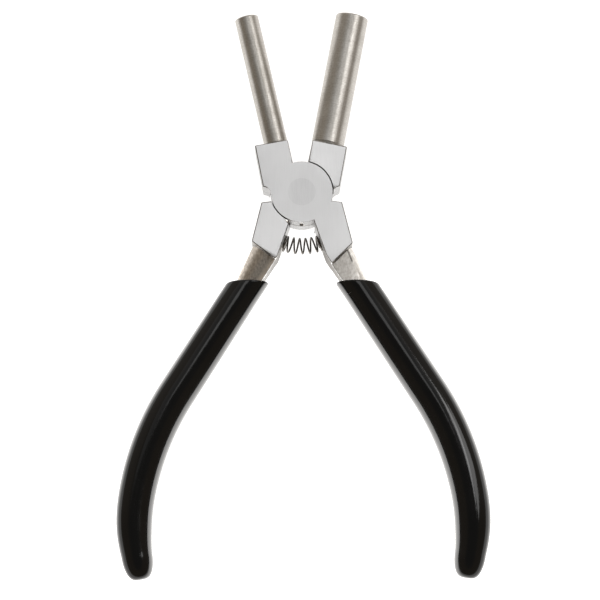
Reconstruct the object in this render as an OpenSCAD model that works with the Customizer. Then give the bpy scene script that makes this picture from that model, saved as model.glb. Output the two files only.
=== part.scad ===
// Bail making pliers: two plain round barrels of different size on a riveted lap joint,
// with a coil return spring between the tangs and dipped grips on the handles.
// The pliers lie flat: +Z is up, +Y points to the barrel tips, and the rivet's axis is the origin.

/* [Opening] */
// Turn of the front half from the closed pliers to rest (degrees)
front_open = 12.15; // [0:0.05:20]
// Turn of the rear half from the closed pliers to rest (degrees)
rear_open = 11.55; // [0:0.05:20]

/* [Barrels] */
// Diameter of the small barrel
small_d = 6; // [3:0.5:8]
// Diameter of the large barrel
large_d = 8.25; // [4:0.05:10]
// Free length of each barrel above its jaw block
barrel_len = 34.6; // [20:0.1:50]
// Line where the jaws meet, from the pivot (negative is on the small barrel's side)
meet_x = -0.3; // [-1:0.05:1]
// Distance of the small barrel from that line when the pliers are shut
small_gap = 0.05; // [0:0.05:0.5]
// Distance of the large barrel from that line when the pliers are shut
large_gap = 0.2; // [0:0.05:0.5]
// Gap between the jaw blocks when the pliers are shut
jaw_gap = 0.65; // [0.1:0.05:2]
// Lean of both barrels to the small barrel's side of their bodies (degrees)
barrel_lean = 0.85; // [0:0.05:2]
// Chamfer round each tip
tip_chamfer = 0.25; // [0:0.05:1]
// Width of the turned groove at each barrel's foot
foot_groove_w = 0.7; // [0.2:0.1:2]
// Depth of the turned groove at each barrel's foot
foot_groove_depth = 0.2; // [0.05:0.05:0.5]
// Length of the spigot that is pressed into the jaw block
spigot_len = 4.8; // [2:0.1:5]
// Steel left round each spigot, to the barrel's surface
spigot_shoulder = 1.1; // [0.5:0.1:2]

/* [Joint] */
// Thickness of the ground slabs at the joint
body_t = 10; // [6:0.5:14]
// Gap between the two halves of the lap
lap_gap = 0.1; // [0.05:0.05:0.3]
// Radius of each half's lap disc
disc_r = 7.8; // [5:0.1:12]
// Room round each lap disc
disc_room = 0.25; // [0.1:0.05:0.5]
// Radius of the rivet's shank
rivet_r = 2.5; // [1.5:0.1:4]
// Radius of the rivet's flush heads
rivet_head_r = 3.5; // [2.5:0.1:5]
// Depth of the rivet's heads
rivet_head_h = 1.5; // [0.5:0.1:2.5]
// Running clearance of the rivet in the rear half
rivet_clear = 0.05; // [0.01:0.01:0.1]
// Width of the oil notch in the front lap disc's rim
oil_notch_w = 0.8; // [0.3:0.1:1]
// Height of the oil notch above the lap
oil_notch_h = 2.8; // [1:0.1:3]
// Depth of the oil notch
oil_notch_depth = 2; // [0.5:0.1:3]
// Radius of the relief at each tang's corner, where it meets the other half's lap disc
corner_relief_r = 0.5; // [0.2:0.05:1]

/* [Tangs and handles] */
// Angle of each handle from the closed centre line (degrees)
handle_angle = 20.8; // [10:0.1:30]
// Offset of the handle's axis from the pivot
handle_offset = -0.56; // [-3:0.01:3]
// Radius of the neck where it leaves the slab
neck_r = 4.8; // [3:0.05:4.95]
// Radius of the neck and bar inside the grip
bar_r = 3.55; // [2.5:0.05:4.2]
// Offset of the neck's axis from the grip's axis
neck_shift = -0.9; // [-2:0.05:0]
// Distance of the neck's flat inner side from the grip's axis
neck_flat = 3.1; // [2:0.05:4]
// Distance from the pivot, along the handle, at which the neck has its full taper
neck_end = 28; // [20:0.5:30]
// Height of the flat ground on the front neck, above the middle of the slabs
front_neck_top = 3.5; // [3:0.05:4.8]
// Distance from the pivot, along the handle, to the start of the bend
bend_start = 59.4; // [40:0.1:80]
// Radius of the long bend at the grip's axis
bend_r = 68; // [40:1:120]
// Angle of the long bend (degrees)
bend_angle = 24.1; // [10:0.1:50]
// Angle by which the steel bar stops short of the end of the long bend (degrees)
bar_end_short = 1; // [0:0.5:10]
// Radius of the tighter bend that follows
end_bend_r = 42.4; // [30:0.1:120]
// Angle of the tighter bend (degrees)
end_bend_angle = 18.2; // [5:0.1:40]

/* [Grips] */
// Radius of the grip at its mouth
grip_mouth_r = 4.65; // [4:0.05:6]
// Radius of the grip from the bend on
grip_r = 4.8; // [4:0.05:6]
// Distance of the level mouth line below the pivot, at rest
grip_mouth_y = 22.3; // [20:0.1:30]
// Rounding of the mouth's outer shoulder
outer_lip_r = 3; // [0.5:0.1:4]
// Rounding of the mouth's inner shoulder
inner_lip_r = 1; // [0.3:0.1:1.5]
// Length of the rounded end
grip_end_len = 7; // [6:0.5:15]
// Radius of the arc that draws the rounded end in
grip_end_arc = 8.35; // [8:0.05:40]
// Radius of the ball at the very end
grip_ball_r = 3.2; // [2:0.1:4]

/* [Return spring] */
// Mean radius of the coils
coil_r = 1.9; // [1:0.05:3]
// Diameter of the wire
wire_d = 0.45; // [0.3:0.05:0.8]
// Half turns between the closed ends
open_half_turns = 10; // [5:1:21]
// Half turns that lie closed on the front tang
front_closed = 1; // [1:1:4]
// Half turns that lie closed on the rear tang
rear_closed = 2; // [1:1:4]
// Distance of the spring's seat from the pivot, down the tang
seat_y = 12.9; // [10:0.1:16]
// Radius of the pegs that hold the spring's ends
peg_r = 1.3; // [0.8:0.05:1.5]
// Length of each peg that shows
peg_out = 0.7; // [0.5:0.1:1.6]
// Depth of each peg's hole
peg_in = 2.5; // [1:0.1:4]
// Width of each peg's shoulder and of the chamfer at its end
peg_step = 0.2; // [0.1:0.05:0.5]

/* [Hidden] */
$fn = 96;
e = 0.01;
past = 1;
far = 200;

mid_z = body_t / 2;
pocket_r = disc_r + disc_room;
small_r = small_d / 2;
large_r = large_d / 2;
small_x = meet_x - small_gap - small_r;
large_x = meet_x + large_gap + large_r;

front_inner_x = meet_x - jaw_gap / 2;
rear_inner_x = -meet_x - jaw_gap / 2;

// Outline of the jaw block, in the closed pliers, with the jaw on the left. The halves are ground by hand,
// so each has its own top height, rise towards the outer corner, and swell of the outer side
jaw_outer_x = -8.87;
heel = [-9.08, 3.35];
heel_bevel = [-8.1, 2.7];
heel_root = [-7.5, 1.8];
function jaw_outline(inner_x, top, rise, swell) = [[inner_x, 0], [inner_x, top],
    [jaw_outer_x - swell, top + rise], heel - [swell, 0], heel_bevel, heel_root, [-4, 0]];

// Outline of the tang's slab, which the slab's end then trims
tang_root = [6.9, -3.85];
tang_shoulder = [9.38, -4.7];
tang_foot = [10.15, -25];
seat_x = 2.05;
seat_slant = 7.5;
seat_dir = [sin(seat_slant), -cos(seat_slant)];
seat_above = 6;
seat_below = 12;
seat = [seat_x, -seat_y];
tang_outline = [[0, -3], tang_root, tang_shoulder, tang_foot, seat + seat_below * seat_dir,
    seat - seat_above * seat_dir];

// Corner of the tang, where its seat side meets the pocket
seat_reach = -(seat * seat_dir);
seat_off = norm(seat + seat_reach * seat_dir);
tang_corner = seat + (seat_reach + sqrt(pow(pocket_r, 2) - pow(seat_off, 2))) * seat_dir;

// Hand grinding of each half: the jaw block's top, rise and swell, then the slab's end along the handle
// and the slant of that end (degrees)
front_grind = [13.85, 0.3, 0.2, 18.85, 12];
rear_grind = [13.7, 0, 0, 17.8, 4.5];
neck_start = 18;
neck_root = 17;

neck_x = handle_offset + neck_shift;
flat_x = handle_offset - neck_flat;

// Seat points of the spring at rest, and the arc that leaves both seats squarely
function turned(p, a) = [p[0] * cos(a) - p[1] * sin(a), p[0] * sin(a) + p[1] * cos(a)];
front_slant = seat_slant + front_open;
rear_slant = seat_slant + rear_open;
front_seat = turned(seat, front_open);
rear_seat = turned([-seat[0], seat[1]], -rear_open);
arc_r = (front_seat[0] - rear_seat[0]) / (sin(front_slant) + sin(rear_slant));
arc_centre = front_seat + arc_r * [-sin(front_slant), cos(front_slant)];

// Half turns of the spring, from the front tang to the rear one: angle along the arc of each crossing.
// The closed turns lie a little more than the wire's diameter apart
wire_r = wire_d / 2;
closed_pitch = 1.05 * wire_d;
closed_step = closed_pitch / 2 / arc_r * 180 / PI;
first_angle = front_slant - wire_r / arc_r * 180 / PI;
last_angle = -rear_slant + wire_r / arc_r * 180 / PI;
closed_half_turns = front_closed + rear_closed;
half_turns = open_half_turns + closed_half_turns;
open_step = (first_angle - last_angle - closed_half_turns * closed_step) / open_half_turns;
function crossing_angle(k) = first_angle - closed_step * min(k, front_closed)
    - open_step * max(0, min(k - front_closed, open_half_turns))
    - closed_step * max(0, k - front_closed - open_half_turns);
function crossing(k) = arc_centre + (arc_r + (k % 2 == 0 ? coil_r : -coil_r))
    * [sin(crossing_angle(k)), -cos(crossing_angle(k))];

// ---------- placing the two halves ----------

// Turns a part of the front half from closed to rest
module at_front() {
    rotate([0, 0, front_open])
        children();
}

// Turns a part over, to the other side of the pliers, and from closed to rest
module at_rear() {
    rotate([0, 0, -rear_open])
        translate([0, 0, body_t])
            rotate([0, 180, 0])
                children();
}

// Frame of the handle: its axis runs down -Y at x = handle_offset
module handle_frame() {
    rotate([0, 0, handle_angle])
        children();
}

// ---------- one half, drawn with its jaw on the left and its lap disc in front ----------

module slab_plan(inner_x, grind) {
    polygon(jaw_outline(inner_x, grind[0], grind[1], grind[2]));
    intersection() {
        polygon(tang_outline);
        handle_frame()
            translate([handle_offset, -grind[3]])
                rotate(grind[4])
                    translate([-far / 2, 0])
                        square([far, far]);
        handle_frame()
            translate([flat_x, -far])
                square([far, 2 * far]);
    }
}

// D section of the bar, with its flat on the inner side
module bar_section() {
    intersection() {
        translate([neck_shift, 0])
            circle(r = bar_r);
        translate([-neck_flat, -bar_r])
            square(2 * bar_r);
    }
}

// Tapered neck, with a flat on its inner side and its top ground off at a height above the middle
module neck(top) {
    intersection() {
        translate([neck_x, 0, mid_z])
            rotate([90, 0, 0]) {
                translate([0, 0, neck_root])
                    cylinder(h = neck_start - neck_root, r = neck_r);
                translate([0, 0, neck_start])
                    cylinder(h = neck_end - neck_start, r1 = neck_r, r2 = bar_r);
            }
        translate([flat_x, -neck_end - past, 0])
            cube([3 * neck_r, neck_end, mid_z + top]);
    }
}

// Sweeps a section round a bend that starts down -Y and turns to -X
module bent(r, angle) {
    translate([-r, 0, 0])
        mirror([0, 1, 0])
            rotate_extrude(angle = angle)
                translate([r, 0])
                    children();
}

// Frame at the end of such a bend
module after_bend(r, angle) {
    translate([-r, 0, 0])
        rotate([0, 0, -angle])
            translate([r, 0, 0])
                children();
}

module bar() {
    translate([handle_offset, -neck_end, mid_z])
        rotate([90, 0, 0])
            linear_extrude(bend_start - neck_end)
                bar_section();
    translate([handle_offset, -bend_start, mid_z])
        bent(bend_r, bend_angle - bar_end_short)
            bar_section();
}

module half_steel(inner_x, grind, neck_top) {
    difference() {
        linear_extrude(body_t)
            slab_plan(inner_x, grind);
        translate([0, 0, -e])
            cylinder(h = mid_z + e, r = pocket_r);
    }
    translate([0, 0, mid_z + lap_gap / 2])
        linear_extrude(mid_z - lap_gap / 2) {
            circle(r = disc_r);
            intersection() {
                slab_plan(inner_x, grind);
                circle(r = pocket_r + past);
            }
        }
    handle_frame() {
        neck(neck_top);
        bar();
    }
}

// Rivet hole, with a recess for the flush head
module rivet_hole(clear) {
    translate([0, 0, -e])
        cylinder(h = body_t + 2 * e, r = rivet_r + clear);
    translate([0, 0, body_t - rivet_head_h - clear])
        cylinder(h = rivet_head_h + past, r = rivet_head_r + clear);
}

// Frame of a barrel: z runs up the barrel from the top of its jaw block
module barrel_frame(x, top, lean) {
    rotate([0, 0, lean])
        translate([x, top, mid_z])
            rotate([-90, 0, 0])
                children();
}

// Frame of a spring seat: z runs out of the tang
module seat_frame() {
    translate([seat[0], seat[1], mid_z])
        rotate([0, 0, seat_slant])
            rotate([0, -90, 0])
                children();
}

module half(inner_x, grind, neck_top, rivet_room, barrel_x, barrel_r, lean) {
    difference() {
        half_steel(inner_x, grind, neck_top);
        rivet_hole(rivet_room);
        translate([tang_corner[0], tang_corner[1], -e])
            cylinder(h = mid_z + e, r = corner_relief_r);
        barrel_frame(barrel_x, grind[0], lean) {
            translate([0, 0, -spigot_len])
                cylinder(h = spigot_len + e, r = barrel_r - spigot_shoulder);
            cylinder(h = past, r = barrel_r);
        }
        seat_frame()
            translate([0, 0, -peg_in])
                cylinder(h = peg_in + past, r = peg_r - peg_step);
    }
}

// ---------- fitted parts ----------

module barrel(r) {
    spigot_r = r - spigot_shoulder;
    groove_r = r - foot_groove_depth;
    rotate_extrude()
        polygon([[0, -spigot_len], [spigot_r, -spigot_len], [spigot_r, 0], [groove_r, 0],
            [groove_r, foot_groove_w], [r, foot_groove_w], [r, barrel_len - tip_chamfer],
            [r - tip_chamfer, barrel_len], [0, barrel_len]]);
}

// Peg with a shoulder that stands on the seat and fills the end coils
module spring_peg() {
    rotate_extrude()
        polygon([[0, -peg_in], [peg_r - peg_step, -peg_in], [peg_r - peg_step, 0], [peg_r, 0],
            [peg_r, peg_out - peg_step], [peg_r - peg_step, peg_out], [0, peg_out]]);
}

// Rounded end of a grip, up +Z from just inside the end of its last bend, a little slimmer than the bend
module grip_end() {
    ball_cut = 1.5;
    rotate_extrude() {
        intersection() {
            translate([grip_r - 2 * e - grip_end_arc, 0])
                circle(r = grip_end_arc);
            square([grip_r, grip_end_len - ball_cut]);
        }
        intersection() {
            translate([0, grip_end_len - grip_ball_r])
                circle(r = grip_ball_r);
            square([grip_r, grip_end_len]);
        }
    }
}

module grip_outside() {
    translate([handle_offset, -neck_start, mid_z])
        rotate([90, 0, 0])
            cylinder(h = bend_start - neck_start, r1 = grip_mouth_r, r2 = grip_r);
    translate([handle_offset, -bend_start, mid_z]) {
        bent(bend_r, bend_angle)
            circle(r = grip_r);
        after_bend(bend_r, bend_angle)
            translate([0, e, 0]) {
                bent(end_bend_r, end_bend_angle)
                    circle(r = grip_r - e);
                after_bend(end_bend_r, end_bend_angle)
                    translate([0, e, 0])
                        rotate([90, 0, 0])
                            grip_end();
            }
    }
}

// Rounds one shoulder of the mouth: side is 1 for the outer one and -1 for the inner one, and the
// round crosses the grip's side a little so that it never just grazes it
module lip_cut(slant, side, r) {
    crossing_depth = 0.1;
    reach = 4 * r;
    axis_x = grip_mouth_y * tan(slant) + handle_offset / cos(slant);
    side_x = axis_x + side * grip_mouth_r / cos(slant);
    centre = [side_x - side * (r - side * r * sin(slant) - crossing_depth) / cos(slant), -grip_mouth_y - r];
    translate([centre[0], centre[1], -body_t])
        linear_extrude(3 * body_t)
            difference() {
                polygon([[0, 0], [0, reach], [side * reach, reach], [side * reach * cos(slant),
                    side * reach * sin(slant)]]);
                circle(r = r);
            }
}

module grip(open, neck_top) {
    slant = handle_angle + open;
    difference() {
        handle_frame()
            grip_outside();
        handle_frame() {
            neck(neck_top);
            bar();
        }
        rotate([0, 0, -open]) {
            translate([-far / 2, -grip_mouth_y, -far / 2])
                cube(far);
            lip_cut(slant, 1, outer_lip_r);
            lip_cut(slant, -1, inner_lip_r);
        }
    }
}

// ---------- nodes ----------

module front_half() {
    color([0.80, 0.80, 0.78])
        difference() {
            at_front()
                half(front_inner_x, front_grind, front_neck_top, 0, small_x, small_r, barrel_lean);
            translate([-oil_notch_w / 2, -disc_r - past, mid_z])
                cube([oil_notch_w, oil_notch_depth + past, lap_gap / 2 + oil_notch_h]);
        }
}

module rear_half() {
    color([0.80, 0.80, 0.78])
        at_rear()
            half(rear_inner_x, rear_grind, neck_r, rivet_clear, -large_x, large_r, -barrel_lean);
}

module small_barrel() {
    color([0.60, 0.57, 0.53])
        at_front()
            barrel_frame(small_x, front_grind[0], barrel_lean)
                barrel(small_r);
}

module large_barrel() {
    color([0.60, 0.57, 0.53])
        at_rear()
            barrel_frame(-large_x, rear_grind[0], -barrel_lean)
                barrel(large_r);
}

module pivot_rivet() {
    rear_head_top = rivet_head_h - rivet_clear;
    color([0.75, 0.75, 0.74])
        rotate_extrude()
            polygon([[0, 0], [rivet_head_r, 0], [rivet_head_r, rear_head_top], [rivet_r, rear_head_top],
                [rivet_r, body_t - rivet_head_h], [rivet_head_r, body_t - rivet_head_h],
                [rivet_head_r, body_t], [0, body_t]]);
}

// Each half turn is half a ring, and a short sleeve joins it to the next
module return_spring() {
    color([0.22, 0.20, 0.19]) {
        for (k = [0 : half_turns - 1]) {
            a = crossing(k);
            b = crossing(k + 1);
            d = b - a;
            translate([(a[0] + b[0]) / 2, (a[1] + b[1]) / 2, mid_z])
                rotate([0, 0, atan2(d[1], d[0])])
                    rotate([90, 0, 0])
                        rotate([0, 0, k % 2 == 0 ? 0 : 180])
                            rotate_extrude(angle = 180)
                                translate([norm(d) / 2, 0])
                                    circle(r = wire_r);
        }
        for (k = [1 : half_turns - 1])
            translate([crossing(k)[0], crossing(k)[1], mid_z])
                cylinder(h = wire_d / 2, r = wire_r + e, center = true);
    }
}

module front_spring_peg() {
    color([0.35, 0.34, 0.33])
        at_front()
            seat_frame()
                spring_peg();
}

module rear_spring_peg() {
    color([0.35, 0.34, 0.33])
        at_rear()
            seat_frame()
                spring_peg();
}

module front_grip() {
    color([0.08, 0.08, 0.08])
        at_front()
            grip(front_open, front_neck_top);
}

module rear_grip() {
    color([0.08, 0.08, 0.08])
        at_rear()
            grip(rear_open, neck_r);
}

front_half();
rear_half();
small_barrel();
large_barrel();
pivot_rivet();
return_spring();
front_spring_peg();
rear_spring_peg();
front_grip();
rear_grip();
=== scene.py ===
import math

import bmesh
import bpy
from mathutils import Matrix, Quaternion, Vector


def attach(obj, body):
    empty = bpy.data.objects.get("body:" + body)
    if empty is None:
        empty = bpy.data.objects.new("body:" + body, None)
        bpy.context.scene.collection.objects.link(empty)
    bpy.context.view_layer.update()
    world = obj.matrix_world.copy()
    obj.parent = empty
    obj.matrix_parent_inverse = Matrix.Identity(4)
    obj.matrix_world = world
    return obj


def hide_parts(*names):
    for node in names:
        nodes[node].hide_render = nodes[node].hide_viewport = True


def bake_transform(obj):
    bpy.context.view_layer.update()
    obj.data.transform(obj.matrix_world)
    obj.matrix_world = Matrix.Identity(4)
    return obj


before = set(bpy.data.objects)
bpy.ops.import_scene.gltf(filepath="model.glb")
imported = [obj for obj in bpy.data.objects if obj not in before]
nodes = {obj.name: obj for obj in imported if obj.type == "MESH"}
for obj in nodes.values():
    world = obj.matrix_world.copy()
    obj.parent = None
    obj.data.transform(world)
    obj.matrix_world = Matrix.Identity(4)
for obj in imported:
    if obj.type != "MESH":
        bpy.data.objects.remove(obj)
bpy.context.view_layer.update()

MM = 0.001

# ---------- sizes that repeat part.scad, in mm and degrees ----------
BODY_T = 10
MID_Z = BODY_T / 2
HANDLE_OFFSET = -0.56
BEND_START = 59.4
BENDS = ((68, 24.1), (42.4, 18.2))
MOUTH_Y = -22.3
FRONT_HANDLE_TURN = 20.8 + 12.15
REAR_HANDLE_TURN = 20.8 + 11.55
SEAT = (2.05, -12.9)
SEAT_SLANT = 7.5
FRONT_OPEN = 12.15
REAR_OPEN = 11.55
COIL_R = 1.9
WIRE_R = 0.225


# ---------- camera ----------
def add_camera():
    tilt = math.radians(10)
    distance = 0.75
    target = Vector((-0.000428, -0.027669, 0.010))
    data = bpy.data.cameras.new("photo_camera")
    data.lens = 180
    data.sensor_width = 36
    data.clip_start = 0.01
    data.clip_end = 50
    camera = bpy.data.objects.new("photo_camera", data)
    camera.location = target + distance * Vector((0, -math.sin(tilt), math.cos(tilt)))
    camera.rotation_euler = (tilt, 0, 0)
    bpy.context.scene.collection.objects.link(camera)
    bpy.context.scene.camera = camera


# ---------- node helpers ----------
class Shader:
    """A material or world with short calls for adding and wiring nodes."""

    def __init__(self, owner):
        owner.use_nodes = True
        self.owner = owner
        self.tree = owner.node_tree
        self.tree.nodes.clear()

    def add(self, kind, **values):
        node = self.tree.nodes.new(kind)
        for name, value in values.items():
            setattr(node, name, value)
        return node

    def wire(self, source, target):
        self.tree.links.new(source, target)

    def set(self, socket, value):
        if isinstance(value, bpy.types.NodeSocket):
            self.wire(value, socket)
        else:
            socket.default_value = value

    def math(self, operation, a, b=0.0):
        node = self.add("ShaderNodeMath", operation=operation)
        self.set(node.inputs[0], a)
        self.set(node.inputs[1], b)
        return node.outputs[0]

    def vector(self, operation, a, b=(0, 0, 0)):
        node = self.add("ShaderNodeVectorMath", operation=operation)
        self.set(node.inputs[0], a)
        self.set(node.inputs[1], b)
        return node

    def split(self, vector):
        node = self.add("ShaderNodeSeparateXYZ")
        self.wire(vector, node.inputs["Vector"])
        return node.outputs

    def length(self, vector):
        return self.vector("LENGTH", vector).outputs["Value"]

    def total(self, *parts):
        """Sum of (value, share) pairs."""
        result = 0.0
        for value, share in parts:
            result = self.math("ADD", self.math("MULTIPLY", value, share), result)
        return result

    def ramp(self, value, low, high, out_low=0.0, out_high=1.0):
        node = self.add("ShaderNodeMapRange", interpolation_type="SMOOTHSTEP")
        self.set(node.inputs["Value"], value)
        node.inputs["From Min"].default_value = low
        node.inputs["From Max"].default_value = high
        node.inputs["To Min"].default_value = out_low
        node.inputs["To Max"].default_value = out_high
        return node.outputs["Result"]

    def mix(self, factor, a, b):
        node = self.add("ShaderNodeMix", data_type="RGBA")
        self.set(node.inputs["Factor"], factor)
        self.set(node.inputs["A"], a)
        self.set(node.inputs["B"], b)
        return node.outputs["Result"]

    def noise(self, place, scale, detail=2.0, roughness=0.5):
        node = self.add("ShaderNodeTexNoise")
        self.wire(place, node.inputs["Vector"])
        node.inputs["Scale"].default_value = scale
        node.inputs["Detail"].default_value = detail
        node.inputs["Roughness"].default_value = roughness
        return node.outputs["Fac"]

    def stretched(self, place, turn, scale):
        node = self.add("ShaderNodeMapping")
        self.wire(place, node.inputs["Vector"])
        node.inputs["Rotation"].default_value = (0, 0, math.radians(turn))
        node.inputs["Scale"].default_value = scale
        return node.outputs["Vector"]

    def bump(self, height, distance, strength=1.0):
        node = self.add("ShaderNodeBump")
        self.wire(height, node.inputs["Height"])
        node.inputs["Distance"].default_value = distance
        node.inputs["Strength"].default_value = strength
        return node.outputs["Normal"]

    def principled(self, **sockets):
        node = self.add("ShaderNodeBsdfPrincipled")
        for name, value in sockets.items():
            self.set(node.inputs[name.replace("_", " ").title()], value)
        output = self.add("ShaderNodeOutputMaterial")
        self.wire(node.outputs["BSDF"], output.inputs["Surface"])
        return node


def new_material(name):
    return Shader(bpy.data.materials.new(name))


def object_place(shader):
    return shader.add("ShaderNodeTexCoord").outputs["Object"]


def reach_from_pivot(shader, place):
    return shader.length(shader.vector("MULTIPLY", place, (1, 1, 0)).outputs["Vector"])


# ---------- materials ----------
WALL_LIGHT = (0.62, 0.62, 0.62, 1)
WALL_DARK = (0.50, 0.50, 0.50, 1)
LOW_GROUND = (0.90, 0.90, 0.905, 1)
STEP_WALL_PAINTED_SHADE = (0.11, 0.10, 0.088, 1)


def half_steel(name, turn, ground, ground_dark, neck, neck_dark, neck_middle_side_painted_light, neck_rough):
    """Ground slab with neutral walls, painted shade on the dark walls at the step below it, and a warmer
    brushed neck with painted light on the side that faces the middle of the tool.
    """
    shader = new_material(name)
    place = object_place(shader)
    at = shader.split(place)
    facing = shader.split(shader.add("ShaderNodeNewGeometry").outputs["Normal"])
    level = shader.math("ABSOLUTE", facing["Z"])
    upright = shader.ramp(level, 0.02, 0.12, 1.0, 0.0)

    # ground faces, paler towards the tangs
    grain = shader.noise(shader.stretched(place, 8, (5200, 240, 240)), 1.0, 3.0, 0.6)
    cloud = shader.noise(place, 160.0, 2.0)
    speck = shader.noise(place, 5200.0, 1.0)
    tone = shader.total((grain, 0.6), (cloud, 0.4))
    ground_colour = shader.mix(shader.ramp(tone, 0.3, 0.7), ground_dark, ground)
    low = shader.ramp(at["Y"], -0.017, 0.0, 0.5, 0.0)
    ground_colour = shader.mix(low, ground_colour, LOW_GROUND)

    # neck, with painted light on the side that faces the middle of the tool: that side gets a colour of its
    # own, paler on the rear half
    coarse = shader.noise(shader.stretched(place, -turn, (3200, 900, 900)), 1.0, 3.0, 0.6)
    pits = shader.noise(place, 1500.0, 2.0)
    wall_tone = shader.total((coarse, 0.55), (pits, 0.45))
    wall_share = shader.ramp(wall_tone, 0.34, 0.66)
    colour = shader.mix(wall_share, neck_dark, neck)
    to_middle = shader.math("MULTIPLY", facing["X"], -math.copysign(1, turn))
    colour = shader.mix(shader.ramp(to_middle, 0.0, 0.35, 0.0, 0.9), colour, neck_middle_side_painted_light)

    # upright walls: neutral on the slab, and dark past its end, where the dark colour is painted shade
    colour = shader.mix(upright, colour, shader.mix(wall_share, WALL_DARK, WALL_LIGHT))
    below_pivot = shader.ramp(at["Y"], -0.010, -0.008, 1.0, 0.0)
    far_out = shader.ramp(reach_from_pivot(shader, place), 0.0135, 0.0160)
    step_shade_mask = shader.math("MULTIPLY", below_pivot, far_out)
    colour = shader.mix(shader.math("MULTIPLY", upright, step_shade_mask), colour, STEP_WALL_PAINTED_SHADE)

    # the ground faces lie exactly at the top and the bottom of the slab
    on_top = shader.ramp(at["Z"], 0.00984, 0.00996)
    under = shader.ramp(at["Z"], 0.00004, 0.00016, 1.0, 0.0)
    is_ground = shader.math("MULTIPLY", shader.ramp(level, 0.93, 0.99), shader.math("MAXIMUM", on_top, under))
    colour = shader.mix(is_ground, colour, ground_colour)
    rough = shader.add("ShaderNodeMix", data_type="FLOAT")
    shader.set(rough.inputs["Factor"], is_ground)
    shader.set(rough.inputs["A"], shader.ramp(wall_tone, 0.3, 0.7, neck_rough + 0.05, neck_rough - 0.05))
    shader.set(rough.inputs["B"], shader.ramp(tone, 0.3, 0.7, 0.30, 0.28))
    height = shader.total((grain, 0.5), (speck, 0.5))
    normal = shader.bump(height, 0.000001)
    node = shader.principled(base_color=colour, roughness=rough.outputs["Result"], normal=normal)
    node.inputs["Metallic"].default_value = 1.0
    return shader.owner


def turned_steel(name, axis):
    """Brushed round bar: fine rings round the axis, with fine grit and soft clouds."""
    shader = new_material(name)
    place = object_place(shader)
    run = shader.vector("DOT_PRODUCT", place, axis).outputs["Value"]
    ring_place = shader.add("ShaderNodeCombineXYZ")
    shader.set(ring_place.inputs["X"], shader.math("MULTIPLY", run, 3800.0))
    rings = shader.noise(ring_place.outputs["Vector"], 1.0, 3.0, 0.65)
    cloud = shader.noise(place, 220.0, 2.0)
    grit = shader.noise(place, 2600.0, 2.0)
    tone = shader.total((rings, 0.45), (grit, 0.3), (cloud, 0.25))
    colour = shader.mix(shader.ramp(tone, 0.36, 0.64), (0.455, 0.432, 0.396, 1), (0.64, 0.618, 0.585, 1))
    rough = shader.ramp(tone, 0.3, 0.7, 0.40, 0.33)
    node = shader.principled(base_color=colour, roughness=rough, normal=shader.bump(rings, 0.0000045))
    node.inputs["Metallic"].default_value = 1.0
    return shader.owner


def edge_shade_and_highlight():
    """Rounded edges: painted shade makes them dark outside and along the seams, and a painted reflection
    makes them pale on the inner sides of the jaws and tangs.
    """
    shader = new_material("edge_steel_painted_shade_and_highlight")
    place = object_place(shader)
    at = shader.split(place)
    reach = reach_from_pivot(shader, place)
    across = shader.math("ABSOLUTE", at["X"])
    along = shader.math("ABSOLUTE", at["Y"])
    limit = shader.math("ADD", shader.math("MULTIPLY", along, 0.46), 0.0006)
    inside = shader.ramp(shader.math("SUBTRACT", limit, across), 0.0, 0.0006)
    inner = shader.math("MULTIPLY", inside, shader.ramp(reach, 0.0083, 0.0087))
    cloud = shader.noise(place, 2600.0, 3.0, 0.6)
    # the dark edge colour is painted shade and the pale one a painted reflection, both mottled
    dark = shader.mix(shader.ramp(cloud, 0.3, 0.7), (0.17, 0.16, 0.15, 1), (0.28, 0.27, 0.26, 1))
    pale = shader.mix(shader.ramp(cloud, 0.3, 0.7), (0.46, 0.455, 0.45, 1), (0.62, 0.615, 0.61, 1))
    rough = shader.ramp(cloud, 0.3, 0.7, 0.42, 0.30)
    node = shader.principled(base_color=shader.mix(inner, dark, pale), roughness=rough)
    node.inputs["Metallic"].default_value = 1.0
    return shader.owner


def plain_steel(name, light, dark, rough_low, rough_high, scale):
    shader = new_material(name)
    place = object_place(shader)
    cloud = shader.noise(place, scale, 3.0, 0.6)
    colour = shader.mix(shader.ramp(cloud, 0.3, 0.7), dark, light)
    rough = shader.ramp(cloud, 0.3, 0.7, rough_high, rough_low)
    node = shader.principled(base_color=colour, roughness=rough, normal=shader.bump(cloud, 0.000004))
    node.inputs["Metallic"].default_value = 1.0
    return shader.owner


def vinyl():
    shader = new_material("dipped_vinyl")
    place = object_place(shader)
    cloud = shader.noise(place, 140.0, 3.0, 0.55)
    ripple = shader.noise(place, 420.0, 2.0, 0.5)
    speck = shader.noise(place, 3600.0, 1.0)
    share = shader.ramp(cloud, 0.3, 0.7)
    colour = shader.mix(share, (0.0006, 0.0006, 0.0006, 1), (0.0018, 0.0017, 0.0016, 1))
    dust = shader.ramp(speck, 0.74, 0.80)
    colour = shader.mix(shader.math("MULTIPLY", dust, 0.35), colour, (0.06, 0.06, 0.058, 1))
    rough = shader.ramp(cloud, 0.3, 0.7, 0.09, 0.13)
    normal = shader.bump(ripple, 0.00002, 0.6)
    node = shader.principled(base_color=colour, roughness=rough, normal=normal)
    node.inputs["IOR"].default_value = 1.5
    return shader.owner


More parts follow.
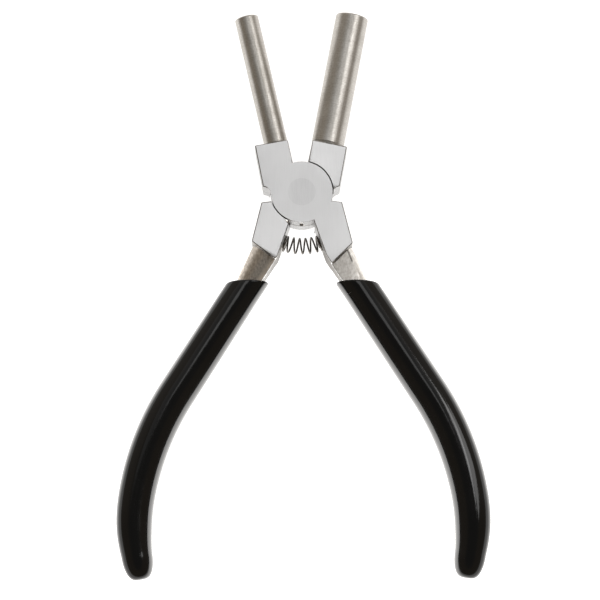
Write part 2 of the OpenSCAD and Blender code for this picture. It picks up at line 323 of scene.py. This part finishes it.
# ---------- CAD nodes that stay ----------
def edge_rule(name, rim_r, seam_r, seam_share):
    """Marks sharp edges for the bevel: none inside rim_r, and only a share up to seam_r, in mm."""
    group = bpy.data.node_groups.new(name, "GeometryNodeTree")
    group.interface.new_socket("Geometry", in_out="INPUT", socket_type="NodeSocketGeometry")
    group.interface.new_socket("Geometry", in_out="OUTPUT", socket_type="NodeSocketGeometry")

    def add(kind, **values):
        node = group.nodes.new(kind)
        for key, value in values.items():
            setattr(node, key, value)
        return node

    def compute(operation, a, b=0.0):
        node = add("ShaderNodeMath", operation=operation)
        for socket, value in zip(node.inputs, (a, b)):
            if isinstance(value, bpy.types.NodeSocket):
                group.links.new(value, socket)
            else:
                socket.default_value = value
        return node.outputs[0]

    start, end = add("NodeGroupInput"), add("NodeGroupOutput")
    angle = add("GeometryNodeInputMeshEdgeAngle").outputs["Unsigned Angle"]
    sharp = compute("GREATER_THAN", angle, math.radians(38))
    place = add("ShaderNodeSeparateXYZ")
    group.links.new(add("GeometryNodeInputPosition").outputs[0], place.inputs[0])
    squares = [compute("POWER", place.outputs[axis], 2.0) for axis in ("X", "Y")]
    reach = compute("SQRT", compute("ADD", *squares))
    past_rivet = compute("GREATER_THAN", reach, rim_r * MM)
    past_seam = compute("GREATER_THAN", reach, seam_r * MM)
    off_middle = compute("ABSOLUTE", compute("SUBTRACT", place.outputs["Z"], MID_Z * MM))
    wide = compute("MAXIMUM", past_seam, compute("LESS_THAN", off_middle, 2 * MM))
    share = compute("ADD", seam_share, compute("MULTIPLY", wide, 1 - seam_share))
    weight = compute("MULTIPLY", sharp, compute("MULTIPLY", past_rivet, share))
    crisp = compute("MULTIPLY", sharp, compute("LESS_THAN", weight, 0.01))
    geometry = start.outputs[0]
    for attribute, kind, value in (("bevel_weight_edge", "FLOAT", weight), ("sharp_edge", "BOOLEAN", crisp)):
        store = add("GeometryNodeStoreNamedAttribute", data_type=kind, domain="EDGE")
        store.inputs["Name"].default_value = attribute
        group.links.new(geometry, store.inputs["Geometry"])
        group.links.new(value, store.inputs["Value"])
        geometry = store.outputs["Geometry"]
    group.links.new(geometry, end.inputs[0])
    return group


def dress(name, material, width, rule, edge_material=None):
    """Gives a CAD node its material and small rounded edges, which may have a material of their own."""
    node = nodes[name]
    node.data.materials.clear()
    node.data.materials.append(material)
    node.data.materials.append(edge_material or material)
    weld = node.modifiers.new("weld", "WELD")
    weld.merge_threshold = 0.000002
    marks = node.modifiers.new("marks", "NODES")
    marks.node_group = rule
    bevel = node.modifiers.new("edges", "BEVEL")
    bevel.width = width * MM
    bevel.segments = 2
    bevel.limit_method = "WEIGHT"
    bevel.use_clamp_overlap = False
    bevel.material = 1
    shade = node.modifiers.new("shade", "WEIGHTED_NORMAL")
    shade.weight = 100
    shade.keep_sharp = True
    for face in node.data.polygons:
        face.use_smooth = True
    return node


# ---------- grips ----------
def on_handle(s, across, up, turn, side):
    """Point in the row frame: s down a handle, across away from the other handle, and up."""
    x, y, lean = HANDLE_OFFSET, -min(s, BEND_START), 0.0
    left = max(0.0, s - BEND_START)
    for bend_r, bend_angle in BENDS:
        step = min(left, bend_r * math.radians(bend_angle))
        after = lean + step / bend_r
        x -= bend_r * (math.cos(lean) - math.cos(after))
        y -= bend_r * (math.sin(after) - math.sin(lean))
        lean = after
        left -= step
    x += across * math.cos(lean) - left * math.sin(lean)
    y -= across * math.sin(lean) + left * math.cos(lean)
    a = math.radians(turn)
    return Vector((
        side * (x * math.cos(a) - y * math.sin(a)) * MM,
        (x * math.sin(a) + y * math.cos(a)) * MM,
        (MID_Z + up) * MM,
    ))


GRIP_TIP = 108.3
GRIP_RADII = ((20, 4.56), (31, 4.66), (48, 4.82), (62, 4.88), (74, 4.84), (86, 4.72), (95, 4.54), (102, 3.98))


def eased(points, s):
    """Smooth curve through a few (distance, value) points."""
    if s <= points[0][0]:
        return points[0][1]
    for i in range(len(points) - 1):
        s0, v0 = points[i]
        s1, v1 = points[i + 1]
        if s <= s1:
            before = points[i - 1] if i else points[i]
            after = points[i + 2] if i + 2 < len(points) else points[i + 1]
            slope0 = (v1 - before[1]) / (s1 - before[0])
            slope1 = (after[1] - v0) / (after[0] - s0)
            t, h = (s - s0) / (s1 - s0), s1 - s0
            return (
                (2 * t**3 - 3 * t**2 + 1) * v0
                + (t**3 - 2 * t**2 + t) * h * slope0
                + (3 * t**2 - 2 * t**3) * v1
                + (t**3 - t**2) * h * slope1
            )
    return points[-1][1]


def grip_rings():
    """Distance and radius of each ring from below the mouth to the tip."""
    end_start, end_r = GRIP_RADII[-1]
    rings = []
    s = 33.0
    while s < end_start:
        rings.append((s, eased(GRIP_RADII, s)))
        s += 1.2
    steps = 14
    for k in range(steps + 1):
        t = k / steps * math.pi / 2
        s = end_start + (GRIP_TIP - end_start) * math.sin(t)
        r = end_r * math.cos(t) ** 0.62
        rings.append((s, max(r, 0.0)))
    return rings


def grip(name, body, node_name, turn, side, material):
    around = 64
    bm = bmesh.new()
    loops = []

    def add_loop(points):
        loops.append([bm.verts.new(p) for p in points])

    a = math.radians(turn)
    slant = math.tan(a)
    mouth_s = (-MOUTH_Y + HANDLE_OFFSET * math.sin(a)) / math.cos(a)
    angles = [2 * math.pi * k / around for k in range(around)]
    radius = eased(GRIP_RADII, mouth_s)

    def round_len(angle):
        """Length of the rounding at the mouth: longest on the inner side and shortest above and below."""
        return 0.55 + (0.35 if math.cos(angle) > 0 else 0.5) * math.cos(angle) ** 2

    def mouth_point(angle, share):
        across, up = radius * math.cos(angle) * share, radius * math.sin(angle) * share
        return on_handle(mouth_s + across * slant, across, up, turn, side)

    add_loop([mouth_point(t, 0.45) for t in angles])
    add_loop([mouth_point(t, 0.55) for t in angles])
    steps = 7
    for k in range(steps + 1):
        t = k / steps
        ring = []
        for angle in angles:
            corner = mouth_point(angle, 1.0)
            flat_reach = math.hypot(radius * math.cos(angle) / math.cos(a), radius * math.sin(angle))
            inner = mouth_point(angle, 1 - round_len(angle) / flat_reach)
            across, up = radius * math.cos(angle), radius * math.sin(angle)
            outer = on_handle(mouth_s + across * slant + round_len(angle), across, up, turn, side)
            ring.append(inner * (1 - t) ** 2 + corner * 2 * t * (1 - t) + outer * t**2)
        add_loop(ring)
    straight_s = 33.0
    steps = 6
    for k in range(1, steps):
        t = k / steps
        ring = []
        for angle in angles:
            start_s = mouth_s + round_len(angle) + radius * math.cos(angle) * slant
            s = start_s * (1 - t) + straight_s * t
            r = eased(GRIP_RADII, s) * t + radius * (1 - t)
            ring.append(on_handle(s, r * math.cos(angle), r * math.sin(angle), turn, side))
        add_loop(ring)
    for s, r in grip_rings()[:-1]:
        add_loop([on_handle(s, r * math.cos(t), r * math.sin(t), turn, side) for t in angles])
    for low, high in zip(loops, loops[1:]):
        for k in range(around):
            m = (k + 1) % around
            bm.faces.new((low[k], low[m], high[m], high[k]))
    bm.faces.new(list(reversed(loops[0])))
    tip = bm.verts.new(on_handle(GRIP_TIP, 0, 0, turn, side))
    for k in range(around):
        bm.faces.new((loops[-1][k], loops[-1][(k + 1) % around], tip))
    bmesh.ops.recalc_face_normals(bm, faces=bm.faces)
    for face in bm.faces:
        face.smooth = True
    piece = add_mesh(name, bm, material)
    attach(piece, body)
    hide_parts(node_name)
    return piece


def add_mesh(name, bm, material):
    mesh = bpy.data.meshes.new(name)
    bm.to_mesh(mesh)
    bm.free()
    piece = bpy.data.objects.new(name, mesh)
    bpy.context.scene.collection.objects.link(piece)
    mesh.materials.append(material)
    return piece


# ---------- return spring ----------
def turned(point, degrees):
    a = math.radians(degrees)
    return Vector((
        point[0] * math.cos(a) - point[1] * math.sin(a),
        point[0] * math.sin(a) + point[1] * math.cos(a),
    ))


def spring(material):
    """Helix round an arc that leaves both seats squarely, with close coils at its two ends."""
    front_seat = turned(SEAT, FRONT_OPEN)
    rear_seat = turned((-SEAT[0], SEAT[1]), -REAR_OPEN)
    front_slant = math.radians(SEAT_SLANT + FRONT_OPEN)
    rear_slant = math.radians(SEAT_SLANT + REAR_OPEN)
    arc_r = (front_seat[0] - rear_seat[0]) / (math.sin(front_slant) + math.sin(rear_slant))
    centre = front_seat + arc_r * Vector((-math.sin(front_slant), math.cos(front_slant)))
    first = front_slant - WIRE_R / arc_r
    last = -rear_slant + WIRE_R / arc_r
    close = 2 * WIRE_R * 1.04 / arc_r
    front_close, rear_close, open_turns = 0.5, 1.0, 5.0
    total = front_close + rear_close + open_turns
    open_step = (first - last - close * (front_close + rear_close)) / open_turns
    per_turn, around = 40, 12
    count = int(total * per_turn)

    def line_angle(turns):
        """Angle along the arc after so many turns, easing from the close coils to the open ones."""
        done = 0.0
        steps = max(1, int(turns * 80))
        for i in range(steps):
            at = turns * (i + 0.5) / steps
            open_share = min(max((at - front_close + 0.15) / 0.3, 0), 1)
            open_share *= min(max((total - rear_close + 0.15 - at) / 0.3, 0), 1)
            done += (close + (open_step - close) * open_share) * turns / steps
        return first - done

    path = []
    for k in range(count + 1):
        turns = total * k / count
        along = line_angle(turns)
        spin = 2 * math.pi * turns
        out = arc_r + COIL_R * math.cos(spin)
        path.append(Vector((
            (centre[0] + out * math.sin(along)) * MM,
            (centre[1] - out * math.cos(along)) * MM,
            (MID_Z + COIL_R * math.sin(spin)) * MM,
        )))
    bm = bmesh.new()
    loops = []
    side = None
    for k, p in enumerate(path):
        ahead = (path[min(k + 1, count)] - path[max(k - 1, 0)]).normalized()
        if side is None:
            side = ahead.orthogonal()
        side = (side - ahead * side.dot(ahead)).normalized()
        other = ahead.cross(side)
        loops.append([
            bm.verts.new(p + (side * math.cos(2 * math.pi * j / around)
                              + other * math.sin(2 * math.pi * j / around)) * WIRE_R * MM)
            for j in range(around)
        ])
    for low, high in zip(loops, loops[1:]):
        for j in range(around):
            m = (j + 1) % around
            bm.faces.new((low[j], low[m], high[m], high[j]))
    bm.faces.new(list(reversed(loops[0])))
    bm.faces.new(loops[-1])
    bmesh.ops.recalc_face_normals(bm, faces=bm.faces)
    for face in bm.faces:
        face.smooth = len(face.verts) == 4
    piece = add_mesh("return_spring_wire", bm, material)
    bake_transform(piece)
    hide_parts("return_spring")


# ---------- floor, light and surroundings ----------
FLOOR_NEAR = 1.1
FLOOR_DIM = 1.25
FLOOR_HOT = 4.3
HOT_SPOT = (0, -0.055, 0)


def add_floor():
    """A glowing white table, strongest between the grips and weakest where a piece is close to it."""
    bm = bmesh.new()
    bmesh.ops.create_circle(bm, cap_ends=True, segments=96, radius=4.0)
    shader = new_material("floor")
    open_sky = shader.add("ShaderNodeAmbientOcclusion", samples=6)
    open_sky.inputs["Distance"].default_value = 0.02
    place = object_place(shader)
    away = shader.length(shader.vector("SUBTRACT", place, HOT_SPOT).outputs["Vector"])
    below_jaws = shader.ramp(shader.split(place)["Y"], -0.030, -0.008, 1.0, 0.0)
    hot = shader.math("MULTIPLY", shader.ramp(away, 0.042, 0.078, 1.0, 0.0), below_jaws)
    full = shader.math("ADD", shader.math("MULTIPLY", hot, FLOOR_HOT - FLOOR_DIM), FLOOR_DIM)
    clear = shader.ramp(open_sky.outputs["AO"], 0.1, 0.95)
    extra = shader.math("SUBTRACT", full, FLOOR_NEAR)
    strength = shader.math("ADD", shader.math("MULTIPLY", clear, extra), FLOOR_NEAR)
    glow = shader.add("ShaderNodeEmission")
    glow.inputs["Color"].default_value = (1.0, 0.985, 0.965, 1)
    shader.wire(strength, glow.inputs["Strength"])
    output = shader.add("ShaderNodeOutputMaterial")
    shader.wire(glow.outputs[0], output.inputs["Surface"])
    floor = add_mesh("floor", bm, shader.owner)
    floor.location.z = -0.0003


def add_world():
    """A dim warm room, brighter behind the tool, with a pale band at the horizon."""
    world = bpy.data.worlds.new("studio")
    bpy.context.scene.world = world
    shader = Shader(world)
    ahead = shader.split(shader.add("ShaderNodeTexCoord").outputs["Generated"])
    back = shader.ramp(ahead["Y"], -0.1, 0.75)
    room = shader.mix(back, (0.215, 0.185, 0.150, 1), (0.40, 0.365, 0.32, 1))
    room = shader.mix(shader.ramp(ahead["Z"], 0.70, 0.95), room, (0.14, 0.137, 0.13, 1))
    pale = shader.ramp(ahead["Z"], 0.0, 0.10, 1.0, 0.0)
    colour = shader.mix(pale, room, (0.55, 0.54, 0.52, 1))
    background = shader.add("ShaderNodeBackground")
    shader.wire(colour, background.inputs["Color"])
    output = shader.add("ShaderNodeOutputWorld")
    shader.wire(background.outputs[0], output.inputs["Surface"])


def add_panel(name, place, width, height, turn, radiance):
    """A soft box at a place in metres that faces the tool, its height turned from +Y by so many degrees."""
    data = bpy.data.lights.new(name, "AREA")
    data.shape = "RECTANGLE"
    data.size = width
    data.size_y = height
    data.energy = radiance * math.pi * width * height
    light = bpy.data.objects.new(name, data)
    light.location = place
    facing = Vector(place).to_track_quat("Z", "Y")
    light.rotation_mode = "QUATERNION"
    light.rotation_quaternion = facing @ Quaternion((0, 0, 1), math.radians(turn))
    bpy.context.scene.collection.objects.link(light)


add_camera()
bpy.context.scene.view_settings.view_transform = "Standard"
add_world()
add_floor()
add_panel("overhead", (0.03, 0.38, 1.5), 0.44, 0.42, 0, 1.15)
add_panel("ceiling", (0.0, 0.75, 1.6), 2.0, 1.14, 0, 0.22)
add_panel("right", (0.84, 0.43, 1.5), 0.20, 0.75, 30, 4.4)
add_panel("far_right", (1.25, 0.45, 1.4), 0.50, 0.90, 20, 2.4)

# The two halves are one steel: the front neck's paler colours and the rear neck's darker, browner ones are
# painted light and shade for the different light on the two necks.
front_steel = half_steel(
    "front_ground_steel", FRONT_HANDLE_TURN,
    ground=(0.71, 0.71, 0.715, 1), ground_dark=(0.68, 0.68, 0.685, 1),
    neck=(0.90, 0.875, 0.84, 1), neck_dark=(0.69, 0.66, 0.62, 1), neck_middle_side_painted_light=(0.80, 0.775, 0.74, 1),
    neck_rough=0.46,
)
rear_steel = half_steel(
    "rear_ground_steel", -REAR_HANDLE_TURN,
    ground=(0.785, 0.785, 0.79, 1), ground_dark=(0.75, 0.75, 0.755, 1),
    neck=(0.60, 0.545, 0.48, 1), neck_dark=(0.37, 0.33, 0.285, 1), neck_middle_side_painted_light=(0.95, 0.88, 0.80, 1),
    neck_rough=0.38,
)
rivet_steel = half_steel(
    "rivet_ground_steel", 0,
    ground=(0.69, 0.69, 0.695, 1), ground_dark=(0.62, 0.62, 0.625, 1),
    neck=(0.64, 0.63, 0.61, 1), neck_dark=(0.50, 0.49, 0.47, 1), neck_middle_side_painted_light=(0.64, 0.63, 0.61, 1),
    neck_rough=0.40,
)
edge_steel = edge_shade_and_highlight()
small_steel = turned_steel("small_turned_steel", (-0.22495, 0.97437, 0))
large_steel = turned_steel("large_turned_steel", (0.18567, 0.98261, 0))
spring_steel = plain_steel(
    "spring_steel", light=(0.14, 0.127, 0.115, 1), dark=(0.075, 0.068, 0.06, 1),
    rough_low=0.28, rough_high=0.42, scale=1500.0,
)
peg_steel = plain_steel(
    "peg_steel", light=(0.38, 0.36, 0.34, 1), dark=(0.26, 0.25, 0.24, 1),
    rough_low=0.35, rough_high=0.45, scale=1500.0,
)
grip_vinyl = vinyl()
joint_edges = edge_rule("joint_edges", 4.2, 8.3, 0.15)
plain_edges = edge_rule("plain_edges", 0, 0, 1)

dress("front_half", front_steel, 0.24, joint_edges, edge_steel)
dress("rear_half", rear_steel, 0.24, joint_edges, edge_steel)
dress("small_barrel", small_steel, 0.1, plain_edges)
dress("large_barrel", large_steel, 0.1, plain_edges)
dress("pivot_rivet", rivet_steel, 0.012, joint_edges)
dress("front_spring_peg", peg_steel, 0.05, plain_edges)
dress("rear_spring_peg", peg_steel, 0.05, plain_edges)
grip("front_grip_skin", "front_lever", "front_grip", FRONT_HANDLE_TURN, 1, grip_vinyl)
grip("rear_grip_skin", "rear_lever", "rear_grip", REAR_HANDLE_TURN, -1, grip_vinyl)
spring(spring_steel)
